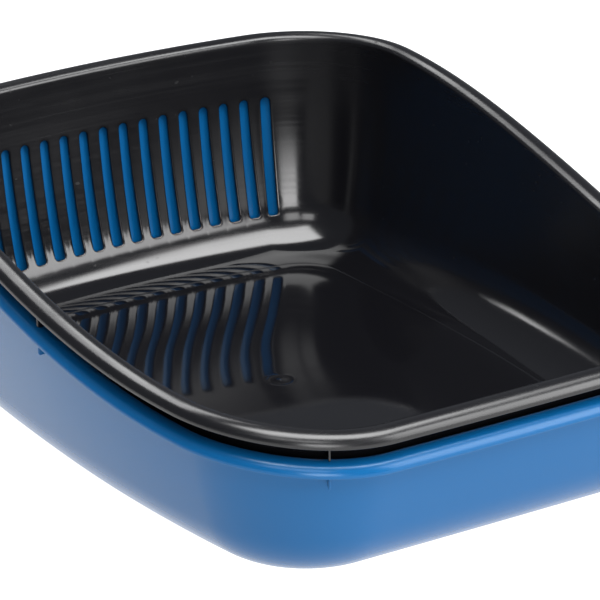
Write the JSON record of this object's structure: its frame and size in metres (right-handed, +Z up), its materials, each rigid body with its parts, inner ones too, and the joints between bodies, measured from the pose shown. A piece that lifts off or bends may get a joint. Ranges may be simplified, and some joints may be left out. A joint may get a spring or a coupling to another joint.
{
  "type": "sifting litter tray",
  "caption": "Open cat litter tray: a glossy inner tray with a slotted high back for sifting, nested in a matching outer tray. Low entry, rolled rims, no hood.",
  "frame": {"origin": "centre of the overall outline, at the outer tray's flat bottom", "axes": "+Y towards the slotted high back, -Y towards the low entry, +X across the tray, +Z up"},
  "size_m": [0.4004, 0.5074, 0.1663],
  "materials": {
    "outer_plastic": "blue moulded polypropylene, soft gloss",
    "sifting_plastic": "black moulded polypropylene, high gloss"
  },
  "bodies": {
    "outer_tray": {"outer_tray": "outer_plastic"},
    "sifting_tray": {"sifting_tray": "sifting_plastic"}
  },
  "joints": [
    {"name": "sifting_tray_lift", "type": "slide", "parent": "outer_tray", "child": "sifting_tray", "axis": [0, 0, 1], "range_m": [0, 0.2]}
  ]
}
